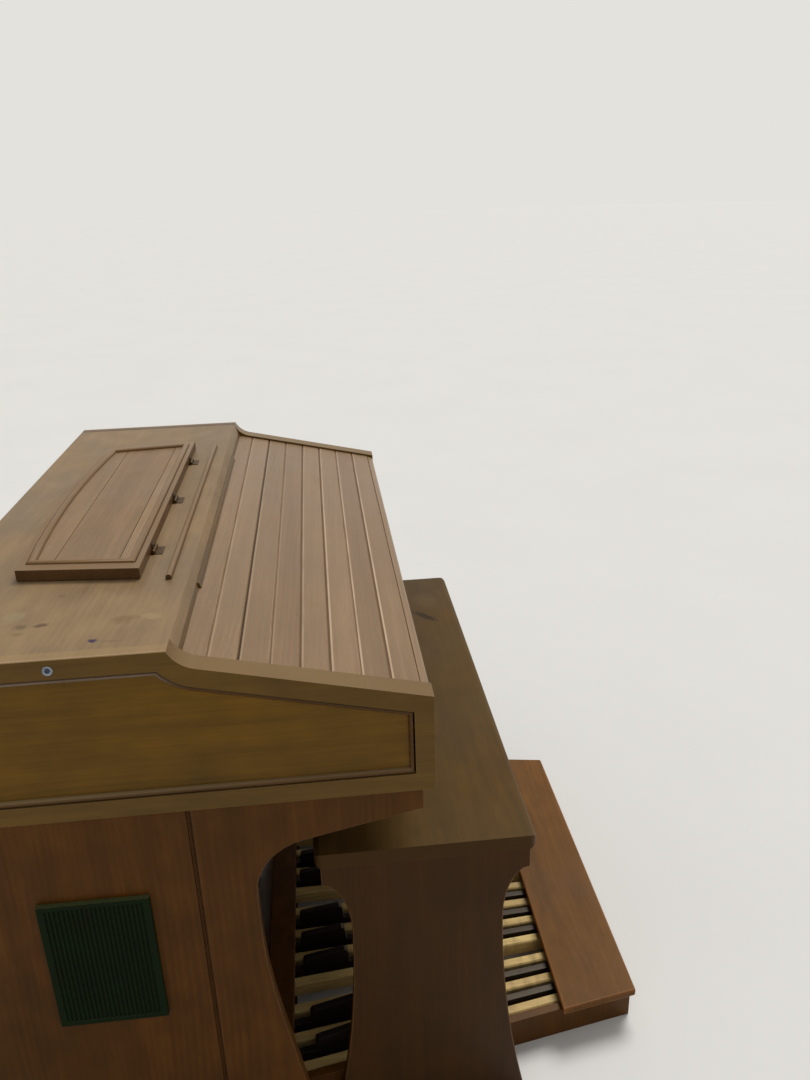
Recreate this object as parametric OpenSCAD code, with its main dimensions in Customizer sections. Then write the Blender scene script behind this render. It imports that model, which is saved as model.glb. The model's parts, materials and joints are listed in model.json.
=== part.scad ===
// A roll top organ console with its radiating pedals and its bench.
// X runs along the console and -X is the bass end, +Y is the back, Z is up from the floor.

/* [Case] */
// Length of the case over its two cheeks
case_w = 1340; // [1240:10:1500]
// Depth of the case from the front edge of the cheeks to the back
case_d = 785; // [740:5:860]
// Height of the flat top above the floor
case_h = 1032; // [960:2:1120]
// Height of a cheek at the back, from the lower case to the flat top
cheek_h = 269; // [240:1:300]
// Fall of the slope from the flat top to the front edge
slope_drop = 106; // [98:1:120]
// Depth of the flat top
flat_d = 410; // [390:5:440]
// Height of the flat top above the line of the slope where they meet
cove_rise = 21.5; // [20:0.5:26]
// Radius of the cove between the slope and the flat top
cove_r = 55; // [45:1:70]
// Thickness of the top board
top_t = 20; // [16:1:26]
// Radius of the rounded ends of the top board
top_edge_r = 3; // [1:0.5:6]

/* [Cheeks] */
// Thickness of a cheek, which shows as a strip beside the slats
cheek_t = 40; // [36:1:60]
// Width of the frame that the cheek shows round its panel
cheek_rail_w = 30; // [24:1:40]
// Depth of the pocket that holds the cheek panel
pocket_depth = 18; // [14:1:24]
// Thickness of the cheek panel
cheek_panel_t = 10; // [6:1:12]
// Width of the bead round the cheek panel
bead_w = 9; // [6:1:12]
// Height of the bead above the cheek panel
bead_h = 7; // [4:1:8]

/* [Roll top] */
// Distance from one slat to the next along the slope
slat_pitch = 46; // [38:0.5:56]
// Thickness of a slat
slat_t = 12; // [9:1:14]
// Depth of the slats below the top of the cheeks
slat_drop = 5; // [4:1:12]
// Chamfer on the long edges of a slat
slat_chamfer = 2.4; // [1:0.2:3]
// Thickness of the canvas that joins the slats from below
canvas_t = 1.2; // [0.8:0.1:2]
// Depth of the track that is cut in a cheek for the slat ends
track_depth = 10; // [6:1:14]
// Radius at which the track bends to run level under the top
track_bend_r = 200; // [150:5:260]
// Height of the front rail of the roll top
lift_rail_h = 62; // [40:1:80]
// Thickness of the front rail and of the key slip below it
lift_rail_t = 20; // [16:1:26]
// Radius of the upper edge of the front rail
rail_round = 8; // [4:1:10]
// Distance by which the foot of the fascia stands in front of the edge of the flat top
fascia_lean = 13; // [8:1:16]
// Length of the batten on the fascia
batten_w = 780; // [600:10:1000]
// Depth by which the batten stands proud of the fascia
batten_t = 4; // [2:0.5:8]

/* [Lower case] */
// Distance from the outer face of a cheek to the side of the lower case
side_inset = 10; // [4:1:20]
// Thickness of the side boards
side_t = 22; // [18:1:28]
// Thickness of the floor boards of the upper and the lower case
board_t = 22; // [18:1:26]
// Distance from the front edge of the cheeks to the joint of bracket and side panel
knee_y = 378; // [350:1:400]
// Thickness of the knee panel and of the back
panel_t = 18; // [12:1:22]
// Width of the groove at the joint of bracket and side panel
joint_groove_w = 8; // [4:1:10]
// Depth of that groove
joint_groove_d = 7; // [4:1:10]
// Width of a side grille
grille_w = 172; // [140:2:200]
// Height of a side grille
grille_h = 248; // [200:2:300]
// Thickness of a side grille, which stands on the face of the side panel
grille_t = 9; // [6:0.5:10]
// Distance from the bottom of the cheeks down to the grille
grille_drop = 158; // [120:1:200]
// Distance from the joint of bracket and side panel to the grille
grille_y = 76; // [60:1:90]
// Width of the rim of a grille, and of the part that covers the edge of its opening
grille_rim = 8; // [6:1:12]
// Distance from one rib of a grille to the next
rib_pitch = 7; // [6:0.5:10]
// Depth of the grooves between the ribs
rib_depth = 2; // [1:0.5:4]
// Setback of the front of a bracket behind the front edge of the cheeks
bracket_set = 18; // [10:1:30]
// Distance from the bottom of the cheeks down to the arch at its front
arch_drop = 42; // [35:1:60]
// Radius of the arch corner
arch_r = 100; // [80:2:130]
// Angle at which the arch falls towards the back
arch_angle = 12; // [6:1:15]
// Distance from the front edge of the cheeks to the leg where it is narrowest
leg_y = 288; // [270:1:300]
// Height of the straight part of the leg between the arch corner and the flare
leg_straight = 47; // [20:1:90]
// Radius of the flare
flare_r = 1200; // [900:20:1400]
// Angle of the foot of the leg from the vertical
flare_angle = 10; // [6:1:12]
// Height of the plinth board
plinth_h = 90; // [60:2:110]
// Width of a swell shoe
shoe_w = 92; // [80:1:100]
// Length of a swell shoe
shoe_h = 250; // [220:2:270]
// Height of the heel of a swell shoe above the floor
shoe_z = 160; // [140:1:200]
// Distance by which the heel of a swell shoe stands out
shoe_d = 36; // [26:1:44]

/* [Music desk] */
// Length of the front edge of the music desk
desk_front_w = 812; // [700:4:900]
// Length of the back of the music desk between its corners
desk_back_w = 764; // [660:4:860]
// Depth of the music desk at its ends
desk_d = 206; // [170:2:230]
// Height of the bow of the back edge over its corners
desk_bow = 18; // [8:1:30]
// Thickness of the music desk
desk_t = 20; // [16:1:24]
// Distance from the front edge of the flat top to the music desk
desk_y = 78; // [70:1:100]
// Width of the frame of the music desk along its front and back
desk_rail_w = 11; // [8:1:20]
// Width of the frame of the music desk at its ends
desk_end_w = 26; // [18:1:36]
// Width of the bead inside the frame of the music desk
desk_bead_w = 14; // [8:1:18]
// Height of that bead above the frame
desk_bead_h = 4; // [2:0.5:6]
// Depth of the panel boards below the frame of the music desk
desk_panel_drop = 2.5; // [1:0.5:5]
// Thickness of the panel boards
desk_panel_t = 8; // [5:1:10]
// Distance from the front of the music desk to the first joint of its panel boards
desk_joint_front = 42; // [34:1:60]
// Distance from the front of the music desk to the second joint of its panel boards
desk_joint_back = 153; // [120:1:170]
// Length of the ledge strip in front of the music desk
ledge_w = 828; // [700:4:900]
// Width of the ledge strip, whose top is half round
ledge_d = 10; // [6:1:14]
// Height of the ledge strip
ledge_h = 9; // [7:1:14]
// Distance from the front edge of the flat top to the ledge strip
ledge_y = 26; // [20:1:34]
// Radius of the barrel of a hinge of the music desk
hinge_r = 3.5; // [2.5:0.5:5]
// Length of a hinge of the music desk
hinge_w = 36; // [24:1:60]
// Distance from the middle of the music desk to an outer hinge
hinge_x = 280; // [200:5:320]

/* [Bench] */
// Depth of the bench top
bench_d = 378; // [340:2:400]
// Height of the bench top above the floor
bench_h = 600; // [560:2:620]
// Thickness of the bench top
bench_t = 28; // [20:1:34]
// Gap between the bass end of the bench and the pedal frame
bench_clear = 5; // [5:1:20]
// Gap between the treble end of the bench and the pedal frame
bench_treble_clear = 54; // [5:1:80]
// Radius of the long edges of the bench top
bench_round = 13; // [6:0.5:14]
// Radius of the corners of the bench top
bench_corner_r = 14; // [8:1:24]
// Distance from the front edge of the cheeks to the centre of the bench, towards the back
bench_y = 10; // [-20:1:20]
// Thickness of the bench ends
bench_end_t = 20; // [18:1:24]
// Depth of the foot of a bench end
bench_foot_d = 356; // [320:2:360]
// Depth of a bench end at its neck
bench_neck_d = 264; // [220:2:300]

/* [Pedals] */
// Distance from one natural to the next at the front of the sharps
natural_pitch = 64; // [62:0.5:65]
// Radius on which the fronts of the sharps lie
radiation_r = 2591; // [2500:1:2700]
// Length of the naturals from the heel board to the front of the sharps
natural_len = 430; // [410:5:440]
// Gap between the pedal frame and the bass side of the case, at the knee panel
pedal_bass_gap = 28; // [15:1:40]
// Distance by which the pedals reach out in front of the cheeks
pedal_reach = 427; // [400:1:450]
// Depth of the heel board
heel_board_d = 159; // [140:1:170]
// Thickness of the heel board
heel_board_t = 16; // [12:1:20]
// Height of the playing surface of the naturals
natural_h = 60; // [54:1:70]
// Depth of a pedal key from its top to its underside
key_d = 30; // [24:1:30]
// Width of a natural
natural_w = 22; // [20:0.5:24]
// Width of a sharp
sharp_w = 15; // [13:0.5:16]
// Height of a sharp above the naturals
sharp_h = 36; // [28:1:42]
// Length of the raised cap of a sharp
sharp_cap_len = 100; // [80:2:104]
// Thickness of the cheeks of the pedal frame
pedal_cheek_t = 18; // [14:1:18]
// Distance from the toe ends of the keys back to the front edge of the cheeks
toe_y = 300; // [290:1:304]

/* [Hidden] */
// clearance of slats in their track, and of a panel in its frame
track_gap = 0.3;
// clearance between two slats, and thickness of the glue between them and the canvas
slat_gap = 0.4;
glue_t = 0.1;
// distance along the slope from its front edge to the track and to the first slat
track_front = 2.4;
slat_start = 14;
// clearance of the front rail between the cheeks
rail_gap = 0.5;
// setback of the front rail and of the key slip behind the front edge of the cheeks
rail_set = 1;
slip_set = 4;
// clearance of the fascia over the slats, and its depth behind the edge of the flat top
fascia_gap = 0.5;
fascia_back = 12;
// overhang of the slats and of the canvas over the inner face of a cheek
slat_in = 9;
canvas_in = -2;
// setback of the knee panel behind the joint of bracket and side panel
knee_set = 2;
// setback of the back panel behind the edges of the case
back_set = 4;
// gap between the two swell shoes, thickness of their toes and radii of their edges
shoe_gap = 14;
shoe_toe_d = 12;
shoe_edge = 8;
shoe_toe_r = 4;
// clearance under the music desk and round its hinges
desk_gap = 0.5;
hinge_gap = 0.4;
// thickness and width of a hinge leaf, and radius of its pin
leaf_t = 1.2;
leaf_w = 16;
pin_r = 1.3;
// gap between two panel boards of the music desk
board_gap = 1;
// overhang of the bench top in front of its ends and beyond them
bench_nosing = 10;
bench_over = 2;
// height of the straight shoulder of a bench end, and of the bend from it to the neck
bench_shoulder_h = 38;
bench_bend_h = 104;
// height, thickness and places of the rails of the bench
bench_rail_h = 70;
bench_rail_t = 20;
bench_rail_y = 90;
// clearance of a pedal key in its cradle, round its tail and at its sides
cradle_gap = 0.3;
key_side_gap = 1.2;
// clearance of a key over and under its stops
key_gap = 6;
// chamfer on the upper edges of a natural
key_edge = 3;
// step from that chamfer to the round tail
tail_set = 0.5;
// length of the round tail that shows between the hinge rail and the key
tail_neck = 5;
// distance from the front of the pedals to the face of the hinge rail, and its depth
hinge_setback = 39;
hinge_rail_d = 34;
// radius of the front of a sharp, its lean, and the fall of its top to the back
cap_r = 10;
cap_lean = 3;
cap_fall = 8;
// clearance between the last keys and the pedal frame
pedal_side_gap = 6;
// setback of the pedal frame behind the edge of the heel board
pedal_front_set = 6;
// clearance between the pedal frame and the plinth
pedal_back_gap = 0.3;
// travel of a key at its toe
key_dip = 12;
// depth to which the cap of the toe rail covers the keys, and its thickness
toe_cover = 30;
toe_cap_t = 14;
// gap between the keys and the board behind their toes
toe_gap = 8;
// distance by which the heel board overhangs the pedal cheeks
heel_over = 15;

// shift that brings the middle of the whole depth to Y 0
front_y = -(case_d - pedal_reach) / 2;
flat_y = case_d - flat_d;
back_y = case_d - back_set - panel_t;
cheek_base_h = case_h - cheek_h;
nose_h = case_h - slope_drop;
slope_angle = atan((slope_drop - cove_rise) / flat_y);
slope_u = [cos(slope_angle), sin(slope_angle)];
slope_n = [-sin(slope_angle), cos(slope_angle)];
step_h = [flat_y, slope_drop] * slope_n;
cove_run = [flat_y, slope_drop] * slope_u - sqrt(2 * step_h * cove_r - step_h * step_h);
cove_c = [0, nose_h] + cove_run * slope_u + cove_r * slope_n;
cove_steps = 8;
cheek_in = case_w / 2 - cheek_t;
side_x = case_w / 2 - side_inset;
side_in = side_x - side_t;
slat_count = floor((flat_y / cos(slope_angle) - slat_start) / slat_pitch);
slat_end = slat_start + slat_count * slat_pitch;
foot_y = flat_y - fascia_lean;
foot_z = slope_z(foot_y, slat_drop) + fascia_gap;
grille_z = cheek_base_h - grille_drop - grille_h;
panel_x = case_w / 2 - pocket_depth + cheek_panel_t;
desk_axis_y = flat_y + desk_y - hinge_r - hinge_gap;
desk_axis_z = case_h + hinge_r + hinge_gap;
NATURALS = [0, 2, 4, 5, 7, 9, 11];
key_count = 25;
natural_count = 15;
pedal_step = natural_pitch / radiation_r * 180 / PI;
pedal_cy = -pedal_reach + heel_board_d - (radiation_r - natural_len);
heel_y = -pedal_reach + heel_board_d;
pivot_y = -pedal_reach + hinge_setback;
pivot_z = natural_h - key_d / 2;
tail_r = key_d / 2 - key_edge - tail_set;
heel_under = natural_h + key_gap;
fan_half = (natural_count - 1) / 2 * pedal_step;
fan_inner = natural_w / 2 + pedal_side_gap;
fan_outer = fan_inner + pedal_cheek_t;
pedal_x = pedal_bass_gap + fan_x(knee_y, fan_outer) - side_in;
bench_fan = fan_x(bench_y + bench_foot_d / 2, fan_outer);
bench_w = 2 * (bench_fan + bench_end_t + bench_over) + bench_clear + bench_treble_clear;
bench_left = pedal_x - bench_fan - bench_clear - bench_end_t - bench_over;
bench_x = bench_left + bench_w / 2;

// Placement helpers

module at_front() {
    translate([0, front_y, 0]) children();
}

// Extrudes a side view, drawn in Y and Z, along X from x0
module along_x(x0, length) {
    translate([x0, 0, 0]) rotate([90, 0, 90]) linear_extrude(length) children();
}

module both_ends() {
    children();
    mirror([1, 0, 0]) children();
}

// Sweeps a closed profile round a closed outline. The profile is a list of [e, h]: e is how far the
// outline is drawn in there, and h is the height along Z. The outline has as many points for every e.
module moulding(profile, rings) {
    n = len(rings[0]);
    m = len(profile);
    points = [for (i = [0:n - 1]) for (j = [0:m - 1]) [rings[j][i][0], rings[j][i][1], profile[j][1]]];
    polyhedron(points, [for (i = [0:n - 1]) for (j = [0:m - 1]) for (half = [0, 1])
        let (
            a = i * m + j,
            b = i * m + (j + 1) % m,
            c = (i + 1) % n * m + (j + 1) % m,
            d = (i + 1) % n * m + j
        )
        half == 0 ? [a, b, c] : [a, c, d]]);
}

// Cheek outlines

function cove_end(e) = acos((cove_c[1] - case_h + e) / (cove_r + e));

// Side view of a cheek, drawn in by e all round
function cheek_outline(e) = concat(
    [[e, cheek_base_h + e], [e, nose_h + e * tan(slope_angle) - e / cos(slope_angle)]],
    [for (i = [0:cove_steps])
        let (a = slope_angle + (cove_end(e) - slope_angle) * i / cove_steps)
        cove_c + (cove_r + e) * [sin(a), -cos(a)]],
    [[case_d - e, case_h - e], [case_d - e, cheek_base_h + e]]
);

// A point s along the slope and d below the top of the cheeks
function on_slope(s, d) = [0, nose_h] + s * slope_u - d * slope_n;

// Height at y of a line d below the slope of the cheeks
function slope_z(y, d) = nose_h + y * tan(slope_angle) - d / cos(slope_angle);

// Side view of the track: along the slope, round a bend and level under the top
module track_profile() {
    bend = on_slope(slat_end, slat_drop + track_bend_r);
    upper = track_bend_r + track_gap;
    lower = track_bend_r - slat_t - track_gap;
    turn = [for (i = [0:4]) slope_angle * (1 - i / 4)];
    polygon(concat(
        [on_slope(track_front, slat_drop + slat_t + track_gap), on_slope(track_front, slat_drop - track_gap)],
        [for (a = turn) bend + upper * [-sin(a), cos(a)]],
        [[back_y, bend[1] + upper], [back_y, bend[1] + lower]],
        [for (i = [4:-1:0]) bend + lower * [-sin(turn[i]), cos(turn[i])]]
    ));
}

module cheek() {
    difference() {
        along_x(-case_w / 2, cheek_t) polygon(cheek_outline(0));
        along_x(-case_w / 2 - 1, pocket_depth + 1) polygon(cheek_outline(cheek_rail_w));
        along_x(-cheek_in - track_depth, track_depth + 1) track_profile();
        top_board_slab();
    }
}

module cheek_panel() {
    along_x(-panel_x, cheek_panel_t) polygon(cheek_outline(cheek_rail_w + track_gap));
}

// Moulding that runs round the cheek panel, with mitred corners and a rounded face
module cheek_bead() {
    outer = cheek_rail_w + track_gap;
    profile = concat(
        [[outer, 0]],
        [for (a = [0:30:90]) [outer + bead_w * (0.3 + 0.7 * sin(a)), bead_h * cos(a)]]
    );
    translate([-panel_x, 0, 0]) rotate([0, -90, 0]) mirror([1, 0, 0]) rotate([0, 0, 90])
        moulding(profile, [for (p = profile) cheek_outline(p[0])]);
}

// Upper case

// The flat slab of the top board, rounded at its ends and mitred to the cheeks below that
module top_board_slab() {
    half = case_w / 2;
    mitre = top_t - top_edge_r;
    translate([0, case_d, 0]) rotate([90, 0, 0]) linear_extrude(flat_d) polygon(concat(
        [for (a = [180:-30:90]) [-half + top_edge_r, case_h - top_edge_r] + top_edge_r * [cos(a), sin(a)]],
        [for (a = [90:-30:0]) [half - top_edge_r, case_h - top_edge_r] + top_edge_r * [cos(a), sin(a)]],
        [[half - mitre, case_h - top_t], [-half + mitre, case_h - top_t]]
    ));
}

// Front face of the top and of the fascia at height z, leaning out towards the slats
function lean_y(z) = flat_y - fascia_lean * (case_h - z) / (case_h - foot_z);

module top_board() {
    under = case_h - top_t;
    color("burlywood") at_front() {
        top_board_slab();
        along_x(-cheek_in, 2 * cheek_in)
            polygon([[flat_y, case_h], [lean_y(under), under], [flat_y, under]]);
    }
}

module cheek_left() {
    color("peru") at_front() cheek();
}

module cheek_right() {
    color("peru") at_front() mirror([1, 0, 0]) cheek();
}

module cheek_panels() {
    color("sienna") at_front() both_ends() cheek_panel();
}

module cheek_beads() {
    color("saddlebrown") at_front() both_ends() cheek_bead();
}

// Strip between the top and the slats, with the batten on its middle
module fascia() {
    top = case_h - top_t;
    rear = flat_y + fascia_back;
    color("saddlebrown") at_front() {
        along_x(-cheek_in, 2 * cheek_in) polygon([
            [foot_y, foot_z], [lean_y(top), top], [rear, top], [rear, slope_z(rear, slat_drop) + fascia_gap]
        ]);
        along_x(-batten_w / 2, batten_w) polygon([
            [foot_y - batten_t, slope_z(foot_y - batten_t, slat_drop) + fascia_gap],
            [lean_y(top) - batten_t, top], [lean_y(top), top], [foot_y, foot_z]
        ]);
    }
}

// Roll top

module slat_profile(s) {
    polygon([
        on_slope(s + slat_gap / 2, slat_drop + slat_t),
        on_slope(s + slat_gap / 2, slat_drop + slat_chamfer),
        on_slope(s + slat_chamfer, slat_drop),
        on_slope(s + slat_pitch - slat_chamfer, slat_drop),
        on_slope(s + slat_pitch - slat_gap / 2, slat_drop + slat_chamfer),
        on_slope(s + slat_pitch - slat_gap / 2, slat_drop + slat_t)
    ]);
}

module tambour_slats() {
    reach = cheek_in + slat_in;
    color("tan") at_front() for (i = [0:slat_count - 1])
        along_x(-reach, 2 * reach) slat_profile(slat_start + i * slat_pitch);
}

module tambour_canvas() {
    reach = cheek_in + canvas_in;
    under = slat_drop + slat_t + glue_t;
    color("gray") at_front() along_x(-reach, 2 * reach) polygon([
        on_slope(slat_start, under), on_slope(slat_end, under),
        on_slope(slat_end, under + canvas_t), on_slope(slat_start, under + canvas_t)
    ]);
}

module tambour_rail() {
    top = nose_h - slat_drop;
    rear = rail_set + lift_rail_t;
    color("tan") at_front() along_x(-cheek_in + rail_gap, 2 * (cheek_in - rail_gap)) polygon(concat(
        [on_slope(slat_start - slat_gap, slat_drop + slat_t), on_slope(slat_start - slat_gap, slat_drop)],
        [for (a = [0:15:90]) [rail_set + rail_round, top - rail_round] + rail_round * [-sin(a), cos(a)]],
        [[rail_set, top - lift_rail_h], [rear, top - lift_rail_h], [rear, top - slat_t - rail_round]]
    ));
}

module key_slip() {
    z0 = cheek_base_h + board_t;
    z1 = nose_h - slat_drop - lift_rail_h - track_gap;
    color("peru") at_front() translate([-cheek_in, slip_set, z0]) cube([2 * cheek_in, lift_rail_t, z1 - z0]);
}

module key_bed() {
    color("sienna") at_front() translate([-cheek_in, slip_set, cheek_base_h])
        cube([2 * cheek_in, back_y - slip_set, board_t]);
}

module back_panel() {
    color("sienna") at_front() translate([0, back_y + panel_t, 0]) rotate([90, 0, 0]) linear_extrude(panel_t)
        polygon([
            [-side_in, 0], [-side_in, cheek_base_h], [-cheek_in, cheek_base_h],
            [-cheek_in, case_h - top_t], [cheek_in, case_h - top_t], [cheek_in, cheek_base_h],
            [side_in, cheek_base_h], [side_in, 0]
        ]);
}

// Lower case

// Groove that runs down the joint of bracket and side panel, half in each
module joint_groove() {
    translate([-side_x - 1, knee_y - joint_groove_w / 2, -1])
        cube([joint_groove_d + 1, joint_groove_w, case_h]);
}

module side_panel() {
    difference() {
        translate([-side_x, knee_y, 0]) cube([side_t, case_d - knee_y, cheek_base_h]);
        translate([-side_x - 1, knee_y + grille_y + grille_rim, grille_z + grille_rim])
            cube([side_t + 2, grille_w - 2 * grille_rim, grille_h - 2 * grille_rim]);
        joint_groove();
    }
}

module side_panel_left() {
    color("sienna") at_front() side_panel();
}

module side_panel_right() {
    color("sienna") at_front() mirror([1, 0, 0]) side_panel();
}

// Ribbed grille on the face of the side panel, over its opening
module side_grille() {
    field_w = grille_w - 2 * grille_rim;
    grooves = floor(field_w / rib_pitch);
    margin = (grille_w - (grooves - 0.5) * rib_pitch) / 2;
    translate([-side_x - grille_t, knee_y + grille_y, grille_z]) difference() {
        cube([grille_t, grille_w, grille_h]);
        for (i = [0:grooves - 1])
            translate([-1, margin + i * rib_pitch, grille_rim])
                cube([rib_depth + 1, rib_pitch / 2, grille_h - 2 * grille_rim]);
    }
}

module side_grilles() {
    color("darkslategray") at_front() both_ends() side_grille();
}

// Side view of a bracket: the arch, the leg and its flared foot
function bracket_outline() =
    let (
        n = [sin(arch_angle), cos(arch_angle)],
        front = [bracket_set, cheek_base_h - arch_drop],
        cy = leg_y - arch_r,
        cz = (front * n - arch_r - cy * n[0]) / n[1],
        flare_h = cz - leg_straight,
        flare_y = leg_y - flare_r * (1 - cos(flare_angle)),
        flare_z = flare_h - flare_r * sin(flare_angle)
    )
    concat(
        [[knee_y, 0], [knee_y, cheek_base_h], [front[0], cheek_base_h], front],
        [for (i = [0:8]) let (a = 90 - arch_angle - i * (90 - arch_angle) / 8)
            [cy, cz] + arch_r * [cos(a), sin(a)]],
        [for (i = [0:4]) let (a = flare_angle * i / 4)
            [leg_y - flare_r * (1 - cos(a)), flare_h - flare_r * sin(a)]],
        [[flare_y - flare_z * tan(flare_angle), 0]]
    );

module bracket() {
    difference() {
        along_x(-side_x, side_t) polygon(bracket_outline());
        joint_groove();
    }
}

module bracket_left() {
    color("peru") at_front() bracket();
}

module bracket_right() {
    color("peru") at_front() mirror([1, 0, 0]) bracket();
}

module knee_panel() {
    color("saddlebrown") at_front() translate([-side_in, knee_y + knee_set, plinth_h])
        cube([2 * side_in, panel_t, cheek_base_h - plinth_h]);
}

// Plinth board with the floor of the lower case behind it
module plinth() {
    y0 = knee_y + knee_set;
    color("saddlebrown") at_front() {
        translate([-side_in, y0, 0]) cube([2 * side_in, panel_t, plinth_h]);
        translate([-side_in, y0 + panel_t, 0]) cube([2 * side_in, back_y - y0 - panel_t, board_t]);
    }
}

// Side view of a swell shoe, which leans back from its heel to its toe
function shoe_outline() =
    let (
        face = knee_y + knee_set,
        heel = [face - shoe_d + shoe_edge, shoe_z + shoe_edge],
        toe = [face - shoe_toe_d + shoe_toe_r, shoe_z + shoe_h - shoe_toe_r]
    )
    concat(
        [[face, shoe_z + shoe_h], [face, shoe_z]],
        [for (a = [0:30:90]) heel + shoe_edge * [-sin(a), -cos(a)]],
        [for (a = [0:30:90]) toe + shoe_toe_r * [-cos(a), sin(a)]]
    );

module swell_shoes() {
    color("dimgray") at_front() for (i = [-1, 1])
        along_x(pedal_x + i * (shoe_w + shoe_gap) / 2 - shoe_w / 2, shoe_w) polygon(shoe_outline());
}

// Music desk

// Plan of the music desk with its ends drawn in by e_end and its front and back by e_rail
function desk_outline(e_end, e_rail) =
    let (
        taper = (desk_front_w - desk_back_w) / 2 / desk_d,
        front = desk_front_w / 2 - e_end - taper * e_rail,
        back = desk_back_w / 2 - e_end + taper * e_rail,
        steps = 8
    )
    concat(
        [[-front, e_rail], [front, e_rail]],
        [for (i = [0:steps]) let (t = 1 - 2 * i / steps)
            [t * back, desk_d - e_rail + desk_bow * (1 - t * t)]]
    );

module at_desk() {
    translate([0, flat_y + desk_y, case_h + desk_gap]) children();
}

module music_desk() {
    pocket = desk_panel_drop + desk_panel_t;
    color("peru") at_front() at_desk() difference() {
        linear_extrude(desk_t) polygon(desk_outline(0, 0));
        translate([0, 0, desk_t - pocket]) linear_extrude(pocket + 1)
            polygon(desk_outline(desk_end_w, desk_rail_w));
    }
}

// Three boards side by side in the pocket of the frame
module music_desk_panel() {
    joints = [-1, desk_joint_front, desk_joint_back, 2 * desk_d];
    pocket = desk_outline(desk_end_w + track_gap, desk_rail_w + track_gap);
    color("burlywood") at_front() at_desk() translate([0, 0, desk_t - desk_panel_drop - desk_panel_t])
        for (i = [0:2]) intersection() {
            linear_extrude(desk_panel_t) polygon(pocket);
            translate([-desk_front_w / 2, joints[i] + board_gap / 2, -1])
                cube([desk_front_w, joints[i + 1] - joints[i] - board_gap, desk_panel_t + 2]);
        }
}

// Half round bead that covers the joint of frame and panel boards
module music_desk_bead() {
    rise = desk_panel_drop + desk_bead_h;
    half = desk_bead_w / 2;
    profile = [for (a = [0:30:180]) [track_gap + half * (1 - cos(a)), rise * sin(a)]];
    color("peru") at_front() at_desk() translate([0, 0, desk_t - desk_panel_drop])
        moulding(profile, [for (p = profile) desk_outline(desk_end_w + p[0], desk_rail_w + p[0])]);
}

module desk_ledge() {
    r = ledge_d / 2;
    color("peru") at_front() translate([0, flat_y + ledge_y, case_h]) along_x(-ledge_w / 2, ledge_w)
        polygon(concat(
            [[ledge_d, 0], [0, 0]],
            [for (a = [180:-30:0]) [r, ledge_h - r] + r * [cos(a), sin(a)]]
        ));
}

module desk_axis(x, r, length) {
    translate([x, desk_axis_y, desk_axis_z]) rotate([0, 90, 0]) cylinder(h = length, r = r, $fn = 32);
}

// Fixed leaves, outer knuckles and pins of the desk hinges
module desk_hinges() {
    third = hinge_w / 3;
    color("goldenrod") at_front() for (x = [-hinge_x, 0, hinge_x]) {
        desk_axis(x - hinge_w / 2, pin_r, hinge_w);
        translate([x - hinge_w / 2, desk_axis_y - leaf_w, case_h])
            cube([hinge_w, leaf_w - hinge_r - hinge_gap, leaf_t]);
        for (x1 = [x - hinge_w / 2, x + third / 2 + hinge_gap]) {
            desk_axis(x1, hinge_r, third - hinge_gap);
            translate([x1, desk_axis_y - leaf_w, case_h]) cube([third - hinge_gap, leaf_w, leaf_t]);
        }
    }
}

// Middle knuckles, each on a leaf that stands against the front of the desk
module desk_knuckles() {
    third = hinge_w / 3;
    front = flat_y + desk_y;
    color("goldenrod") at_front() for (x = [-hinge_x, 0, hinge_x]) difference() {
        union() {
            desk_axis(x - third / 2, hinge_r, third);
            translate([x - third / 2, front - leaf_t, desk_axis_z])
                cube([third, leaf_t, desk_t - 2 * hinge_r]);
        }
        desk_axis(x - third / 2 - 1, pin_r + hinge_gap / 2, third + 2);
    }
}

// Bench

function round_corners(w, d, r) = concat(
    [for (a = [0:22.5:90]) [w / 2 - r, d / 2 - r] + r * [cos(a), sin(a)]],
    [for (a = [90:22.5:180]) [-w / 2 + r, d / 2 - r] + r * [cos(a), sin(a)]],
    [for (a = [180:22.5:270]) [-w / 2 + r, -d / 2 + r] + r * [cos(a), sin(a)]],
    [for (a = [270:22.5:360]) [w / 2 - r, -d / 2 + r] + r * [cos(a), sin(a)]]
);

// The bench top has half round long edges and round corners
module bench_top() {
    color("burlywood") at_front() translate([bench_x, bench_y, bench_h - bench_t]) intersection() {
        along_x(-bench_w / 2, bench_w) translate([0, bench_t / 2])
            polygon(round_corners(bench_d, bench_t, bench_round));
        linear_extrude(bench_t) polygon(round_corners(bench_w, bench_d, bench_corner_r));
    }
}

// Side view of a bench end, symmetric about its centre line
function bench_end_half() =
    let (
        top = bench_h - bench_t,
        shoulder = bench_d / 2 - bench_nosing,
        neck = bench_neck_d / 2,
        foot = bench_foot_d / 2,
        bend_z = top - bench_shoulder_h,
        neck_z = bend_z - bench_bend_h
    )
    concat(
        [[shoulder, top], [shoulder, bend_z]],
        [for (i = [1:6]) let (a = i * 15)
            [shoulder - (shoulder - neck) * sin(a), neck_z + bench_bend_h * cos(a)]],
        [for (i = [1:6]) let (t = i / 6) [neck + (foot - neck) * t * t, neck_z * (1 - t)]]
    );

module bench_end(x0) {
    half = bench_end_half();
    n = len(half) - 1;
    color("sienna") at_front() along_x(x0, bench_end_t) translate([bench_y, 0]) polygon(concat(
        half, [for (i = [n:-1:0]) [-half[i][0], half[i][1]]]
    ));
}

module bench_end_left() {
    bench_end(bench_left + bench_over);
}

module bench_end_right() {
    bench_end(bench_left + bench_w - bench_over - bench_end_t);
}

module bench_rails() {
    length = bench_w - 2 * (bench_over + bench_end_t);
    color("sienna") at_front() for (s = [-1, 1])
        translate([bench_x - length / 2, bench_y + s * bench_rail_y - bench_rail_t / 2,
            bench_h - bench_t - bench_rail_h])
            cube([length, bench_rail_t, bench_rail_h]);
}

// Pedals

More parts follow.
